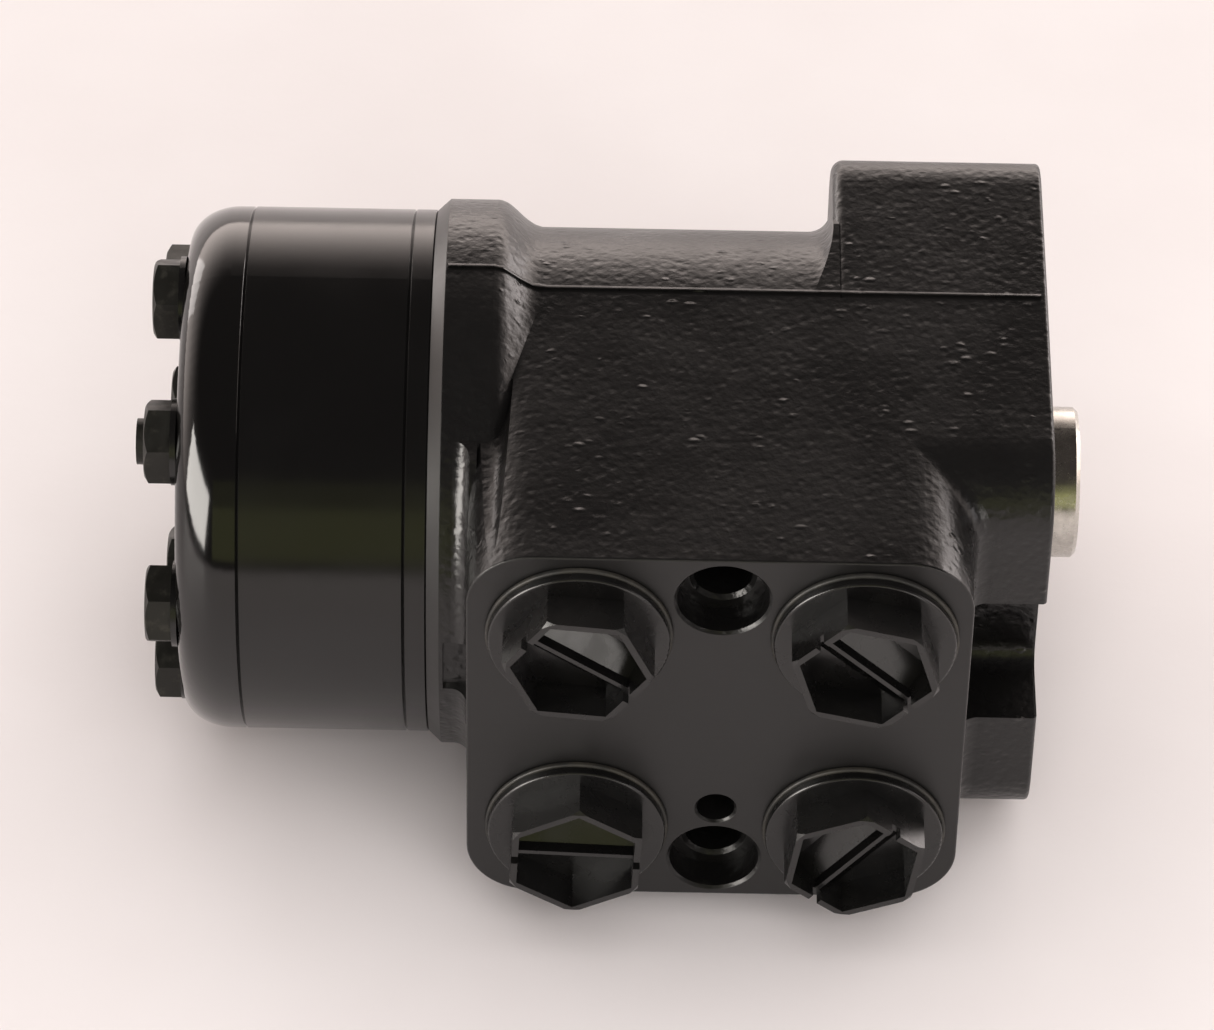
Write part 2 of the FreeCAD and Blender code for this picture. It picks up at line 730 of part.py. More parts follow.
def make_sleeve():
    front = BEARING_FRONT - 2 * RACE_T - 2 * ROLLER_R - 0.04
    sleeve = tube(SLEEVE_R, SLEEVE_BORE_R, SLEEVE_REAR, front)
    tools = [slab(SPRING_X0, SPRING_X1, -25, 25, -1.9, 1.9)]
    tools.append(tube(20, 17.95, SPRING_X0 - 0.7, SPRING_X1 + 0.7))
    tools.append(Part.makeCylinder(PIN_R + 0.01, 60, V(PIN_X, 0, -30), V(0, 0, 1)))
    for x, _width in GROOVES:
        for i in range(6):
            tools.append(radial_hole(1.9, x, 10, 25, 30 + 60 * i))
    for i in range(12):
        tools.append(radial_hole(1.7, TIMING_X, 10, 25, 15 + 30 * i))
    return cut(sleeve, tools)


def make_spool():
    edges = [
        line((NECK_END, 0), (NECK_END, NECK_R - 0.7)),
        line((NECK_END, NECK_R - 0.7), (NECK_END - 0.7, NECK_R)),
        line((NECK_END - 0.7, NECK_R), (-20.0, NECK_R)),
        line((-20.0, NECK_R), (-20.0, SPOOL_R)),
        line((-20.0, SPOOL_R), (SPOOL_REAR, SPOOL_R)),
        line((SPOOL_REAR, SPOOL_R), (SPOOL_REAR, 0)),
        line((SPOOL_REAR, 0), (NECK_END, 0)),
    ]
    spool = spin_edges(edges)
    tools = [rod(PILOT_R, PILOT_END, SPLINE_END + 1), rod(SPLINE_TIP_R, SPLINE_END, NECK_END + 1)]
    tools.append(Part.makeCone(SPLINE_TIP_R, SPLINE_MOUTH_R, 1.6, V(NECK_END - 1.6, 0, 0), V(1, 0, 0)))
    tools += spline_slots(SPLINE_TIP_R, SPLINE_ROOT_R, SPLINE_SLOT, SPLINE_END, NECK_END + 1)
    tools.append(rod(SPOOL_CORE_R, SPOOL_REAR - 1, SPOOL_CORE_FRONT))
    tools.append(slab(SPRING_X0, SPRING_X1, -20, 20, -1.95, 1.95))
    tools.append(slab(PIN_X - 4.4, PIN_X + 4.4, -5.95, 5.95, -20, 20))
    for i in range(6):
        y, z = polar(SPOOL_R + 1.0, 60 * i)
        tools.append(rod(2.2, -80.0 + 3.0, -34.0, y, z))
    return cut(spool, tools)


def make_cross_pin():
    pin = Part.makeCylinder(PIN_R, 2 * PIN_HALF, V(PIN_X, 0, -PIN_HALF), V(0, 0, 1))
    return pin.makeChamfer(0.6, [e for e in pin.Edges if e.Closed])


def bow(x, length, z_end, z_mid):
    """Shallow arc along Y, at z_end at both ends and z_mid in the middle."""
    return Part.Arc(V(x, -length, z_end), V(x, 0, z_mid), V(x, length, z_end)).toShape()


def make_leaf_springs():
    """Two flat leaves outside, two bowed leaves between them."""
    x0 = SPRING_X0 + 0.2
    x1 = SPRING_X1 - 0.2
    thick = 0.5
    length = 17.6
    solids = []
    for side in (1, -1):
        z0 = 1.35 if side > 0 else -1.85
        solids.append(slab(x0, x1, -length, length, z0, z0 + thick))
        mid = 0.26
        end = 0.80
        near = bow(x0, length, side * end, side * mid)
        far = bow(x0, length, side * (end + thick), side * (mid + thick))
        cap0 = Part.makeLine(V(x0, -length, side * end), V(x0, -length, side * (end + thick)))
        cap1 = Part.makeLine(V(x0, length, side * end), V(x0, length, side * (end + thick)))
        wire = Part.Wire(Part.__sortEdges__([near, cap1, far, cap0]))
        solids.append(Part.Face(wire).extrude(V(x1 - x0, 0, 0)))
    return Part.makeCompound(solids)


def make_bearing():
    x = BEARING_FRONT
    mid = x - RACE_T - ROLLER_R - 0.02
    front_race = tube(18.9, 14.6, x - RACE_T, x)
    rear_x = mid - ROLLER_R - 0.02
    rear_race = tube(18.6, 14.1, rear_x - RACE_T, rear_x)
    rollers = []
    pockets = []
    for i in range(18):
        angle = 20.0 * i
        rollers.append(radial_hole(ROLLER_R, mid, 15.4, 18.0, angle))
        pockets.append(radial_hole(ROLLER_R + 0.06, mid, 15.3, 18.1, angle))
    cage = cut(tube(18.5, 14.9, mid - 0.8, mid + 0.8), pockets)
    return front_race, rear_race, Part.makeCompound(rollers), cage


def make_cardan():
    """Cardan shaft: fork on the cross pin in front, crowned spline in the rotor behind."""
    reach = (RING_FRONT + RING_REAR) / 2 - PIN_X
    length = math.hypot(reach, ECCENTRICITY)
    # Built along -X from the pin, then tilted to the rotor centre.
    head0 = -length - 3.2
    head1 = -length + 3.2
    outline = [
        (7.6, 0), (7.6, 7.6), (7.0, 8.2), (-8.5, 8.2), (-11.5, 6.9), (head1 + 3.0, 6.9),
        (head1 + 0.4, 8.5), (head0 - 0.4, 8.5), (head0 - 2.0, 7.0), (head0 - 4.6, 7.0), (head0 - 4.6, 0),
    ]
    shaft = spin_points([(PIN_X + x, r) for x, r in outline])
    teeth = []
    for i in range(12):
        a = 30.0 * i
        tooth = Part.makeBox(head1 - head0, 2.5, 1.5, V(PIN_X + head0, 8.0, -0.75))
        tooth.rotate(V(0, 0, 0), V(1, 0, 0), a)
        teeth.append(tooth)
    shaft = fuse([shaft] + teeth)
    fork = PIN_R + 0.08
    shaft = cut(shaft, [
        slab(PIN_X - FORK_RELIEF, PIN_X + 20, -fork, fork, -20, 20),
        Part.makeCylinder(fork, 40, V(PIN_X - FORK_RELIEF, 0, -20), V(0, 0, 1)),
    ])
    shaft.rotate(V(PIN_X, 0, 0), V(0, 1, 0), math.degrees(math.atan2(ECCENTRICITY, -reach)))
    return shaft


# ------------------------------------------------------------ small valves


def make_relief():
    y = -RELIEF_P
    x = RELIEF_FACE_X
    plug = rod(RELIEF_R - 0.05, x - 0.6, x + 7.5, y, 0)
    plug = cut(plug, [hex_rod(6.0, x - 2, x + 4.0, y, 0, 0)])
    screw = rod(RELIEF_R - 0.05, x + 8.5, x + 13.5, y, 0)
    screw = cut(screw, [hex_rod(4.0, x + 7, x + 11.0, y, 0, 0)])
    seat = tube(RELIEF_R - 0.05, 2.0, RELIEF_END - 3.5, RELIEF_END, y, 0)
    seat = cut(seat, [Part.makeCone(3.5, 1.9, 1.3, V(RELIEF_END - 3.6, y, 0), V(1, 0, 0))])
    cone_x = RELIEF_END - 3.5
    cone = fuse([
        Part.makeCone(4.0, 1.2, 2.6, V(cone_x - 0.8, y, 0), V(1, 0, 0)),
        rod(4.0, cone_x - 3.3, cone_x - 0.7, y, 0),
        rod(1.9, cone_x - 6.2, cone_x - 3.2, y, 0),
    ])
    spring_end = cone_x - 3.35
    spring_start = x + 13.55
    pitch = 2.3
    helix = Part.makeHelix(pitch, spring_end - spring_start - 1.4, 3.1)
    wire_r = 0.6
    profile = Part.Wire(Part.makeCircle(wire_r, V(3.1, 0, 0), V(0, 1, 0)))
    spring = Part.Wire(helix).makePipeShell([profile], True, True)
    spring.rotate(V(0, 0, 0), V(0, 1, 0), 90)
    spring.translate(V(spring_start + 0.7, y, 0))
    return plug, screw, seat, cone, spring


def make_ball_valve():
    y, z = polar(SCREW_R, SCREW_PITCH * BALL_SCREW)
    ball = Part.makeSphere(BALL_R, V(BALL_X, y, z))
    bush = tube(BUSH_R - 0.05, 3.35, -103.0, -92.0, y, z)
    return ball, bush


# ------------------------------------------------------------------- plugs


def make_plug(x, z, turn):
    base = PORT_FACE + PLUG_SEAL_T
    top = PORT_FACE + PLUG_TOP
    shoulder = PORT_FACE + PLUG_FLANGE_TOP
    flange = post(PLUG_FLANGE_R, base, shoulder, x, z)
    rim = [e for e in flange.Edges if e.Closed and e.BoundBox.YMin < 0.01 - shoulder]
    flange = flange.makeFillet(0.45, rim)
    head = Part.Face(hex_outline(PLUG_AF, x, z, shoulder - 0.2, turn))
    head = head.extrude(V(0, -(top - shoulder + 0.2), 0))
    r = PLUG_AF / math.sqrt(3.0)
    tip = cone_post(r + 0.1, r - 0.7, top - 0.7, top, x, z)
    head = head.common(fuse([post(r + 0.1, shoulder - 1, top - 0.7, x, z), tip]))
    thread = post(PLUG_THREAD_R, PORT_FACE - 11.0, base + 0.2, x, z)
    lead = cone_post(PLUG_THREAD_R - 1.2, PLUG_THREAD_R, PORT_FACE - 12.2, PORT_FACE - 11.0, x, z)
    plug = fuse([flange, head, thread, lead])
    floor = top - PLUG_POCKET
    slot_turn = -(turn + 30.0)
    pocket = Part.Face(hex_outline(PLUG_AF - 2 * PLUG_WALL, x, z, floor, turn))
    pocket = pocket.extrude(V(0, -(PLUG_POCKET + 1), 0))
    rib = slab(x - 20, x + 20, floor - 1, top - PLUG_SLOT_DEPTH, z - PLUG_RIB_W / 2, z + PLUG_RIB_W / 2)
    crest = V(x - 20, PLUG_RIDGE_DEPTH - top, z)
    foot = V(x - 20, -floor, z - PLUG_RIDGE_HALF)
    far_foot = V(x - 20, -floor, z + PLUG_RIDGE_HALF)
    ridge = Part.Face(Part.makePolygon([foot, crest, far_foot, foot])).extrude(V(40, 0, 0))
    for shape in (rib, ridge):
        shape.rotate(V(x, 0, z), V(0, 1, 0), slot_turn)
    plug = cut(plug, [cut(pocket, [rib, ridge])])
    slot = slab(x - 20, x + 20, top - PLUG_SLOT_DEPTH, top + 1, z - PLUG_SLOT_W / 2, z + PLUG_SLOT_W / 2)
    slot.rotate(V(x, 0, z), V(0, 1, 0), slot_turn)
    return cut(plug, [slot])


def make_plugs():
    return Part.makeCompound([make_plug(x, z, turn) for x, z, turn in PLUGS])


def make_plug_seals():
    solids = []
    for x, z, _turn in PLUGS:
        ring = post(15.9, PORT_FACE, PORT_FACE + PLUG_SEAL_T, x, z)
        ring = cut(ring, [post(PORT_HOLE_R + 0.3, PORT_FACE - 1, PORT_FACE + 3, x, z)])
        edges = [e for e in ring.Edges if e.Closed and e.BoundBox.XLength > 30]
        solids.append(ring.makeFillet(0.4, edges))
    return Part.makeCompound(solids)


def main():
    save(make_housing(), "housing")
    save(make_plate(), "distributor_plate")
    save(make_ring(), "gear_ring")
    save(make_cover(), "end_cover")
    save(make_screws(), "cover_screws")
    save(make_special_screw(), "special_screw")
    save(make_washers(), "cover_washers")
    save(make_face_seals(), "face_seals")
    save(make_plugs(), "port_plugs")
    save(make_plug_seals(), "plug_seals")
    dust = tube(17.75, NECK_R + 0.06, -4.4, -0.4)
    save(dust.makeFillet(0.5, [e for e in dust.Edges if e.Closed and e.BoundBox.XMax > -0.5]), "dust_seal")
    shaft_seal = tube(17.1, NECK_R + 0.06, -10.4, -6.6)
    save(shaft_seal.makeFillet(0.8, [e for e in shaft_seal.Edges if e.Closed]), "shaft_seal")
    front_race, rear_race, rollers, cage = make_bearing()
    save(front_race, "thrust_race_front")
    save(rear_race, "thrust_race_rear")
    save(rollers, "thrust_rollers")
    save(cage, "thrust_cage")
    save(make_sleeve(), "sleeve")
    save(make_spool(), "spool")
    save(make_cross_pin(), "cross_pin")
    save(make_leaf_springs(), "leaf_springs")
    save(tube(18.9, 17.97, SPRING_X0 - 0.5, SPRING_X1 + 0.5), "spring_ring")
    save(make_cardan(), "cardan_shaft")
    save(make_rotor(), "rotor")
    save(rod(8.8, RING_REAR + 0.4, RING_REAR + 4.4, 0, ECCENTRICITY), "rotor_spacer")
    plug, screw, seat, cone, spring = make_relief()
    save(plug, "relief_plug")
    save(screw, "relief_screw")
    save(seat, "relief_seat")
    save(cone, "relief_cone")
    save(spring, "relief_spring")
    ball, bush = make_ball_valve()
    save(ball, "check_ball")
    save(bush, "thread_bushing")


main()
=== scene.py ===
"""Looks, light and camera for the hydrostatic steering unit."""

import json
import math

import bpy
from mathutils import Matrix, Vector


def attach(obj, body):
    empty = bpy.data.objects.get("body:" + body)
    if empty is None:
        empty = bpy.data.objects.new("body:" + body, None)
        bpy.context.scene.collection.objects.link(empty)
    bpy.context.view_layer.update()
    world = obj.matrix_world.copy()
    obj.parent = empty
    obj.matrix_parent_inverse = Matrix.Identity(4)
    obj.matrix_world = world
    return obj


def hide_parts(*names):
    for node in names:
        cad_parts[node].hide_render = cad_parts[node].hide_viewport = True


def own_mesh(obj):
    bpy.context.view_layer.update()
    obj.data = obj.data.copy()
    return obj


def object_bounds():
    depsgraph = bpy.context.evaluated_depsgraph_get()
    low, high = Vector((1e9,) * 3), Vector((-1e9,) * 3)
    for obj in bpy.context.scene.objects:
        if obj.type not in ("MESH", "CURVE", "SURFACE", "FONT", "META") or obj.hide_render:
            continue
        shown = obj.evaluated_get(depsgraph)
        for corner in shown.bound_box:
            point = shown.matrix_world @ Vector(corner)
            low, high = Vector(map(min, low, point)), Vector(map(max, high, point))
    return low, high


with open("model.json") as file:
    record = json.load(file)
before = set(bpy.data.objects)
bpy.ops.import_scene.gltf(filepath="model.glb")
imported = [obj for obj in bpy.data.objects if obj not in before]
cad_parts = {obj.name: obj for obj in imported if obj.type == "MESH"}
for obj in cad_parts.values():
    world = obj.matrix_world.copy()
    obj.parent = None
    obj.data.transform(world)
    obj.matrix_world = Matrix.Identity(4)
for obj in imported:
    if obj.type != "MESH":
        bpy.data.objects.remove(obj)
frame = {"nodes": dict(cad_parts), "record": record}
CAD_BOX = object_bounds()

# Camera: square to the motor axis, 45 degrees above the port normal.
ELEVATION = math.radians(45.0)
ROLL = math.radians(1.06)
DISTANCE = 1.108
FOCAL_WIDTHS = 6216 / 1214
SENSOR_MM = 36.0
AIM_X = -0.0759
AIM_DROP = -0.0074

# Places on the housing that are machined, in metres.
PORT_FACE_Y = -0.0624
FRONT_FACE_X = -0.0003
FLANGE_TURNED_X = -0.1043

# The floor's side, and how far it lies below the unit.
FLOOR_SIZE = 6.0
FLOOR_GAP = 0.0002

# Radiance of the room: the dim part, the low glow behind the unit, and the ceiling.
SKY_DIM = 0.058
SKY_GLOW = 3.1
SKY_COLOR = (1.0, 0.87, 0.81, 1.0)
CEILING = 1.12

# The glow fades in along the unit vector's Y, towards the back, and out along Z, upwards.
GLOW_Y = (-0.45, 0.45)
GLOW_Z = (0.70, 0.03)

# Heights that the bump nodes stand for, in metres.
CAST_DEPTH = 0.00026
TOOL_MARK_DEPTH = 0.00002
FINE_DEPTH = 0.00001
GRAIN_DEPTH = 0.00002
PEEL_DEPTH = 0.00003
FLOW_DEPTH = 0.00006
PAPER_DEPTH = 0.0004

# Brightness of a stain on steel, as a share of the clean metal's.
STAIN_SHADE = 0.62

# Lamp colours.
DAYLIGHT = (1.0, 0.965, 0.955)
WINDOW = (1.0, 0.95, 0.89)
WALL = (1.0, 0.95, 0.93)
WALL_COOL = (1.0, 0.95, 0.96)
WALL_WARM = (1.0, 0.95, 0.90)
FOLIAGE = (0.97, 1.0, 0.4)

# Panels: name, azimuth and elevation in degrees, distance and size in metres, radiance,
# colour, and the kind of ray that doesn't see it. Azimuth 0 lies behind the unit (+Y) and
# grows towards +X. The ceiling and the fill light the table; the others are reflections:
# a window on the left, plain walls round the camera, and the green outdoors behind it.
PANELS = (
    ("ceiling", 20.0, 87.0, 1.9, (3.4, 3.2), CEILING, DAYLIGHT, "glossy"),
    ("fill_front", 168.0, 38.0, 1.8, (1.8, 1.0), 2.5, DAYLIGHT, "glossy"),
    ("window_left", -124.0, 17.0, 1.4, (1.15, 0.62), 11.0, WINDOW, "diffuse"),
    ("wall_back_left", -45.0, 8.0, 1.7, (0.6, 0.5), 2.4, WALL, "diffuse"),
    ("wall_back_right", 47.0, 9.0, 1.7, (0.8, 0.5), 2.0, WALL_COOL, "diffuse"),
    ("wall_right", 108.0, 15.0, 1.5, (0.5, 0.45), 2.2, WALL_COOL, "diffuse"),
    ("wall_front", 180.0, 15.0, 1.5, (1.2, 0.62), 0.34, FOLIAGE, "diffuse"),
    ("wall_front_high", 180.0, 32.5, 1.5, (1.2, 0.31), 0.12, FOLIAGE, "diffuse"),
    ("wall_front_right", 147.0, 6.0, 1.5, (0.45, 0.4), 3.6, WALL_WARM, "diffuse"),
)

# A panel's power for its area and radiance, as Blender scales an area lamp.
POWER_PER_RADIANCE = 4.0


# ------------------------------------------------------------- node helpers


class Shader:
    """A material with one Principled shader and short calls to add nodes."""

    def __init__(self, name, **settings):
        self.material = bpy.data.materials.new(name)
        self.material.use_nodes = True
        self.tree = self.material.node_tree
        self.bsdf = self.tree.nodes["Principled BSDF"]
        self.coords = self.tree.nodes.new("ShaderNodeTexCoord").outputs["Object"]
        for key, value in settings.items():
            socket = self.bsdf.inputs[key.replace("_", " ")]
            socket.default_value = (*value, 1.0) if isinstance(value, tuple) else value

    def node(self, kind, **values):
        made = self.tree.nodes.new(kind)
        for key, value in values.items():
            setattr(made, key, value)
        return made

    def put(self, source, node, name):
        """A socket is linked, a plain value is set."""
        target = node.inputs[name]
        if isinstance(source, bpy.types.NodeSocket):
            self.tree.links.new(source, target)
        else:
            target.default_value = source

    def math(self, operation, a, b):
        made = self.node("ShaderNodeMath", operation=operation)
        self.put(a, made, 0)
        self.put(b, made, 1)
        return made.outputs[0]

    def times(self, a, b):
        return self.math("MULTIPLY", a, b)

    def plus(self, a, b):
        return self.math("ADD", a, b)

    def noise(self, scale, detail=3.0, rough=0.55, stretch=None, distort=0.0):
        made = self.node("ShaderNodeTexNoise")
        self.put(self.stretched(stretch), made, "Vector")
        made.inputs["Scale"].default_value = scale
        made.inputs["Detail"].default_value = detail
        made.inputs["Roughness"].default_value = rough
        made.inputs["Distortion"].default_value = distort
        return made.outputs["Fac"]

    def cells(self, scale, feature="F1", smooth=1.0, stretch=None):
        made = self.node("ShaderNodeTexVoronoi", feature=feature)
        self.put(self.stretched(stretch), made, "Vector")
        made.inputs["Scale"].default_value = scale
        if feature == "SMOOTH_F1":
            made.inputs["Smoothness"].default_value = smooth
        return made.outputs["Distance"]

    def stretched(self, stretch):
        if stretch is None:
            return self.coords
        made = self.node("ShaderNodeMapping")
        self.put(self.coords, made, "Vector")
        made.inputs["Scale"].default_value = stretch
        return made.outputs["Vector"]

    def ramp(self, value, low, high, start=0.0, end=1.0):
        """Value between low and high becomes start to end, with soft ends."""
        made = self.node("ShaderNodeMapRange", interpolation_type="SMOOTHSTEP")
        self.put(value, made, "Value")
        made.inputs["From Min"].default_value = low
        made.inputs["From Max"].default_value = high
        made.inputs["To Min"].default_value = start
        made.inputs["To Max"].default_value = end
        return made.outputs["Result"]

    def mix(self, factor, a, b):
        made = self.node("ShaderNodeMix", data_type="RGBA")
        self.put(factor, made, "Factor")
        for color, name in ((a, "A"), (b, "B")):
            self.put((*color, 1.0) if isinstance(color, tuple) else color, made, name)
        return made.outputs["Result"]

    def axes(self):
        made = self.node("ShaderNodeSeparateXYZ")
        self.put(self.coords, made, "Vector")
        return made.outputs["X"], made.outputs["Y"], made.outputs["Z"]

    def bump(self, height, distance, strength=1.0, base=None):
        made = self.node("ShaderNodeBump")
        self.put(height, made, "Height")
        made.inputs["Distance"].default_value = distance
        made.inputs["Strength"].default_value = strength
        if base is not None:
            self.put(base, made, "Normal")
        return made.outputs["Normal"]

    def finish(self, color, rough, normal):
        self.put(color, self.bsdf, "Base Color")
        self.put(rough, self.bsdf, "Roughness")
        self.put(normal, self.bsdf, "Normal")
        return self.material


# ---------------------------------------------------------------- materials


def housing_paint():
    """Black paint over rough cast iron, thinner and smoother on machined faces."""
    s = Shader("housing_paint", Specular_IOR_Level=0.46)
    x, y, _z = s.axes()
    port_face = s.math("LESS_THAN", y, PORT_FACE_Y)
    front_face = s.math("GREATER_THAN", x, FRONT_FACE_X)
    turned = s.math("LESS_THAN", x, FLANGE_TURNED_X)
    machined = s.math("MAXIMUM", s.math("MAXIMUM", port_face, front_face), turned)
    cast = s.math("SUBTRACT", 1.0, machined)

    grain = s.noise(780, 3.0, 0.5)
    lumps = s.noise(260, 3.0, 0.55)
    pits = s.ramp(s.cells(520, "SMOOTH_F1", 0.6), 0.0, 0.55)
    drops = s.ramp(s.cells(450, stretch=(0.55, 1.0, 0.9)), 0.0, 0.36, 1.0, 0.0)
    specks = s.times(drops, s.ramp(s.noise(170), 0.52, 0.66))
    height = s.plus(s.times(grain, 0.55), s.times(lumps, 0.75))
    height = s.plus(height, s.times(pits, 0.35))
    height = s.times(s.plus(height, specks), cast)
    normal = s.bump(height, CAST_DEPTH, 0.75)
    tool_marks = s.noise(900, 2.0, 0.5, stretch=(0.05, 1.0, 1.0))
    normal = s.bump(s.times(tool_marks, machined), TOOL_MARK_DEPTH, 0.5, normal)

    patches = s.noise(35, 4.0, 0.6)
    rough = s.ramp(patches, 0.35, 0.65, 0.26, 0.36)
    rough = s.plus(rough, s.times(machined, 0.08))
    dust = s.ramp(s.noise(140, 5.0, 0.7), 0.55, 0.8, 0.0, 0.25)
    color = s.mix(dust, (0.0046, 0.0043, 0.0042), (0.014, 0.0125, 0.011))
    return s.finish(color, rough, normal)


def turned_paint(name, roughness):
    """Gloss black paint over a turned steel surface."""
    s = Shader(name, Specular_IOR_Level=0.48)
    rings = s.noise(1500, 2.0, 0.5, stretch=(1.0, 0.02, 0.02))
    peel = s.noise(230, 2.0, 0.5)
    normal = s.bump(rings, FINE_DEPTH, 0.35)
    normal = s.bump(peel, PEEL_DEPTH, 0.3, normal)
    rough = s.ramp(s.noise(45, 4.0, 0.6), 0.3, 0.7, roughness * 0.8, roughness * 1.25)
    dust = s.ramp(s.noise(320, 5.0, 0.75), 0.6, 0.85, 0.0, 0.3)
    color = s.mix(dust, (0.0036, 0.0034, 0.0033), (0.012, 0.011, 0.0098))
    return s.finish(color, rough, normal)


def screw_steel():
    """Black oiled phosphate with a faint olive cast."""
    s = Shader("screw_steel", Metallic=0.55)
    grain = s.noise(2600, 3.0, 0.6)
    normal = s.bump(grain, GRAIN_DEPTH, 0.5)
    wear = s.ramp(s.noise(420, 4.0, 0.65), 0.5, 0.75)
    color = s.mix(wear, (0.014, 0.0135, 0.011), (0.036, 0.034, 0.027))
    rough = s.ramp(s.noise(300, 3.0, 0.5), 0.3, 0.7, 0.34, 0.5)
    return s.finish(color, rough, normal)


def plug_plastic():
    """Moulded black polymer."""
    s = Shader("plug_plastic", Specular_IOR_Level=0.5)
    grain = s.noise(1700, 2.0, 0.5)
    flow = s.noise(90, 3.0, 0.6, distort=0.6)
    normal = s.bump(grain, FINE_DEPTH, 0.3)
    normal = s.bump(flow, FLOW_DEPTH, 0.25, normal)
    rough = s.ramp(s.noise(120, 4.0, 0.6), 0.3, 0.7, 0.2, 0.32)
    color = s.mix(s.ramp(flow, 0.4, 0.7), (0.0048, 0.0046, 0.0045), (0.0075, 0.0070, 0.0066))
    return s.finish(color, rough, normal)


def rubber(name, dark, light):
    s = Shader(name, Specular_IOR_Level=0.4)
    grain = s.noise(1400, 3.0, 0.6)
    normal = s.bump(grain, GRAIN_DEPTH, 0.4)
    color = s.mix(s.ramp(s.noise(200, 4.0, 0.6), 0.35, 0.7), dark, light)
    rough = s.ramp(s.noise(260, 2.0, 0.5), 0.3, 0.7, 0.42, 0.6)
    return s.finish(color, rough, normal)


def turned_steel(name, color, roughness):
    """Bright steel with fine turning rings about the motor axis."""
    s = Shader(name, Metallic=1.0)
    rings = s.noise(2400, 3.0, 0.6, stretch=(1.0, 0.03, 0.03))
    normal = s.bump(rings, GRAIN_DEPTH, 0.4)
    stain = s.ramp(s.noise(160, 4.0, 0.65), 0.4, 0.75)
    darker = tuple(c * STAIN_SHADE for c in color)
    tone = s.mix(stain, color, darker)
    rough = s.ramp(s.noise(500, 3.0, 0.6), 0.3, 0.7, roughness * 0.8, roughness * 1.3)
    return s.finish(tone, rough, normal)


def floor_paper():
    s = Shader("floor_paper", Specular_IOR_Level=0.12)
    cloud = s.noise(5.0, 4.0, 0.6)
    specks = s.ramp(s.noise(260, 4.0, 0.7), 0.7, 0.82)
    color = s.mix(s.ramp(cloud, 0.3, 0.7), (0.80, 0.750, 0.738), (0.86, 0.818, 0.808))
    color = s.mix(s.times(specks, 0.35), color, (0.62, 0.55, 0.48))
    normal = s.bump(s.noise(90, 4.0, 0.6), PAPER_DEPTH, 0.25)
    return s.finish(color, s.ramp(cloud, 0.2, 0.8, 0.45, 0.6), normal)


def paint_nodes():
    """Every CAD node takes the material of its record slot."""
    made = {
        "housing_paint": housing_paint(),
        "plate_paint": turned_paint("plate_paint", 0.2),
        "ring_paint": turned_paint("ring_paint", 0.17),
        "cover_paint": turned_paint("cover_paint", 0.09),
        "screw_steel": screw_steel(),
        "washer_steel": turned_paint("washer_steel", 0.25),
        "seal_rubber": rubber("seal_rubber", (0.012, 0.012, 0.012), (0.022, 0.021, 0.02)),
        "plug_plastic": plug_plastic(),
        "plug_seal_rubber": rubber(
            "plug_seal_rubber", (0.016, 0.0155, 0.014), (0.04, 0.036, 0.028)
        ),
        "bearing_steel": turned_steel("bearing_steel", (0.62, 0.62, 0.62), 0.16),
        "cage_brass": turned_steel("cage_brass", (0.72, 0.55, 0.25), 0.3),
        "valve_steel": turned_steel("valve_steel", (0.5, 0.5, 0.5), 0.22),
        "neck_steel": turned_steel("neck_steel", (0.60, 0.575, 0.53), 0.24),
        "spring_steel": turned_steel("spring_steel", (0.3, 0.31, 0.34), 0.25),
        "rotor_steel": turned_steel("rotor_steel", (0.48, 0.48, 0.48), 0.2),
    }
    for part in frame["record"]["subparts"]:
        for slot in frame["nodes"][part["node"]].material_slots:
            slot.material = made[part["material_slot"]]


def add_relief_coil():
    """The relief spring shortens as its cone lifts; a copy of its mesh, with a mesh of its own
    and fixed to the housing body, replaces the node.
    """
    coil = bpy.data.objects.new("relief_coil", frame["nodes"]["relief_spring"].data.copy())
    bpy.context.scene.collection.objects.link(coil)
    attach(coil, "housing_body")
    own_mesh(coil)
    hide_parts("relief_spring")


# ------------------------------------------------------------------- stage


def add_floor():
    low = CAD_BOX[0]
    place = (AIM_X, 0.0, low[2] - FLOOR_GAP)
    bpy.ops.mesh.primitive_plane_add(size=FLOOR_SIZE, location=place)
    floor = bpy.context.object
    floor.name = "floor"
    floor.data.materials.append(floor_paper())


def add_panel(name, azimuth, elevation, distance, size, radiance, color, unseen_by):
    """A lamp from the table of panels, turned towards the unit."""
    a, e = math.radians(azimuth), math.radians(elevation)
    aim = Vector((AIM_X, 0.0, 0.0))
    away = Vector((math.sin(a) * math.cos(e), math.cos(a) * math.cos(e), math.sin(e)))
    data = bpy.data.lights.new(name, "AREA")
    data.shape = "RECTANGLE"
    data.size, data.size_y = size
    data.energy = POWER_PER_RADIANCE * size[0] * size[1] * radiance
    data.color = color
    lamp = bpy.data.objects.new(name, data)
    bpy.context.scene.collection.objects.link(lamp)
    lamp.location = aim + away * distance
    lamp.rotation_euler = (-away).to_track_quat("-Z", "Y").to_euler()
    setattr(lamp, "visible_" + unseen_by, False)


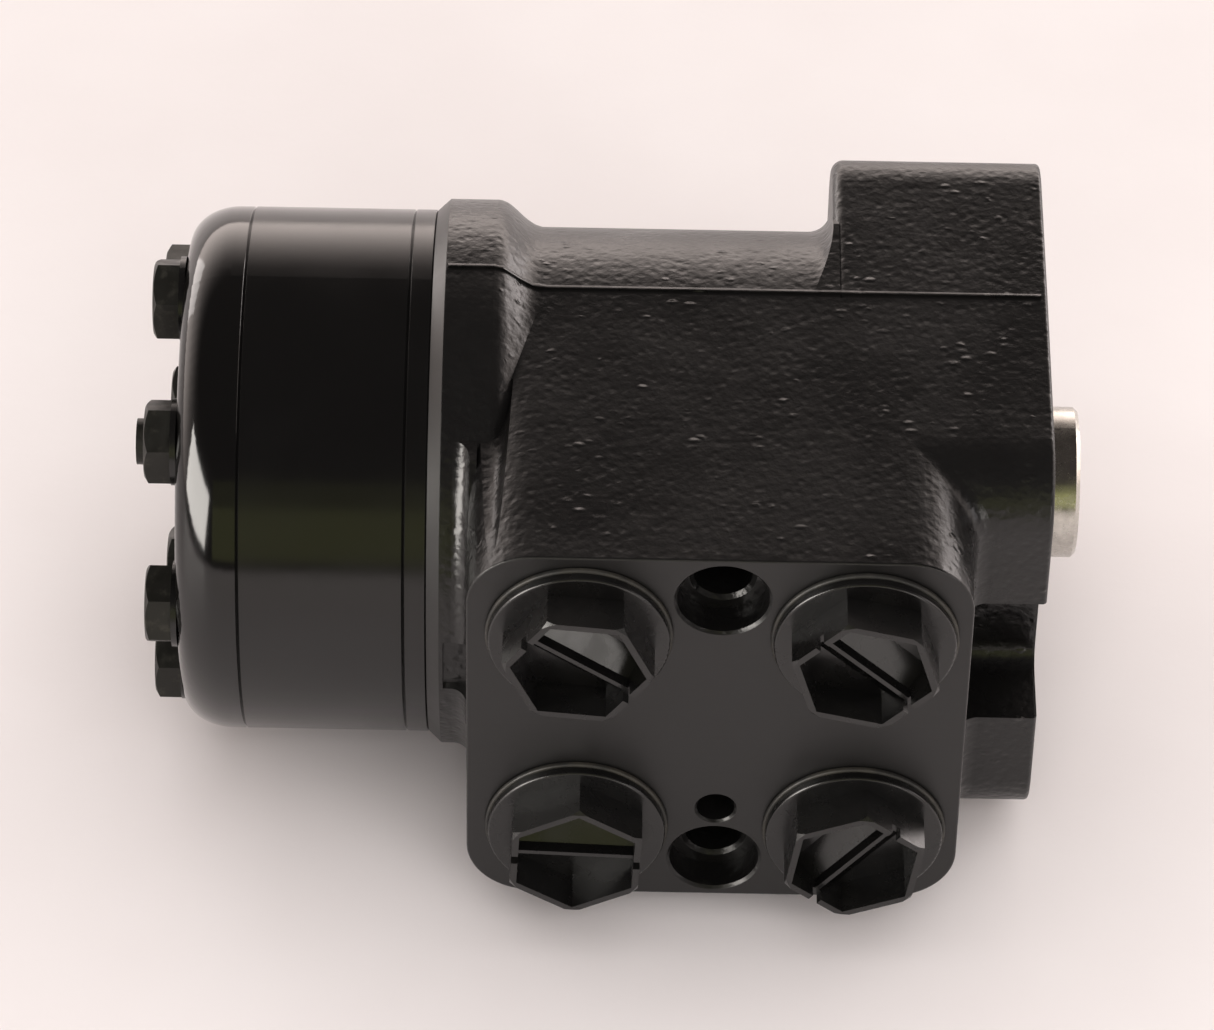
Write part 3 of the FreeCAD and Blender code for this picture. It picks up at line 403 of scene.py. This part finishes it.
def add_sky():
    """Dim room whose far side glows low above the table."""
    world = bpy.data.worlds.new("studio")
    bpy.context.scene.world = world
    world.use_nodes = True
    nodes = world.node_tree.nodes
    links = world.node_tree.links
    axes = nodes.new("ShaderNodeSeparateXYZ")
    links.new(nodes.new("ShaderNodeTexCoord").outputs["Generated"], axes.inputs["Vector"])
    strength = nodes.new("ShaderNodeMath")
    strength.operation = "MULTIPLY_ADD"
    strength.inputs[2].default_value = SKY_DIM
    fades = (("Y", GLOW_Y, 1.0), ("Z", GLOW_Z, SKY_GLOW))
    for index, (axis, (low, high), top) in enumerate(fades):
        ramp = nodes.new("ShaderNodeMapRange")
        ramp.interpolation_type = "SMOOTHSTEP"
        ramp.inputs["From Min"].default_value = low
        ramp.inputs["From Max"].default_value = high
        ramp.inputs["To Max"].default_value = top
        links.new(axes.outputs[axis], ramp.inputs["Value"])
        links.new(ramp.outputs["Result"], strength.inputs[index])
    links.new(strength.outputs[0], nodes["Background"].inputs["Strength"])
    nodes["Background"].inputs["Color"].default_value = SKY_COLOR


def add_camera():
    toward = Vector((0.0, -math.cos(ELEVATION), math.sin(ELEVATION)))
    right = Vector((1.0, 0.0, 0.0))
    up = toward.cross(right)
    turned_right = right * math.cos(ROLL) + up * math.sin(ROLL)
    turned_up = up * math.cos(ROLL) - right * math.sin(ROLL)
    aim = Vector((AIM_X, 0.0, 0.0)) + turned_up * AIM_DROP
    data = bpy.data.cameras.new("camera")
    data.sensor_width = SENSOR_MM
    data.lens = SENSOR_MM * FOCAL_WIDTHS
    camera = bpy.data.objects.new("camera", data)
    bpy.context.scene.collection.objects.link(camera)
    turn = Matrix((turned_right, turned_up, toward)).transposed().to_4x4()
    camera.matrix_world = Matrix.Translation(aim + toward * DISTANCE) @ turn
    bpy.context.scene.camera = camera


# The default transform would grey the white table.
bpy.context.scene.view_settings.view_transform = "Standard"
paint_nodes()
add_relief_coil()
add_floor()
add_sky()
for panel in PANELS:
    add_panel(*panel)
add_camera()
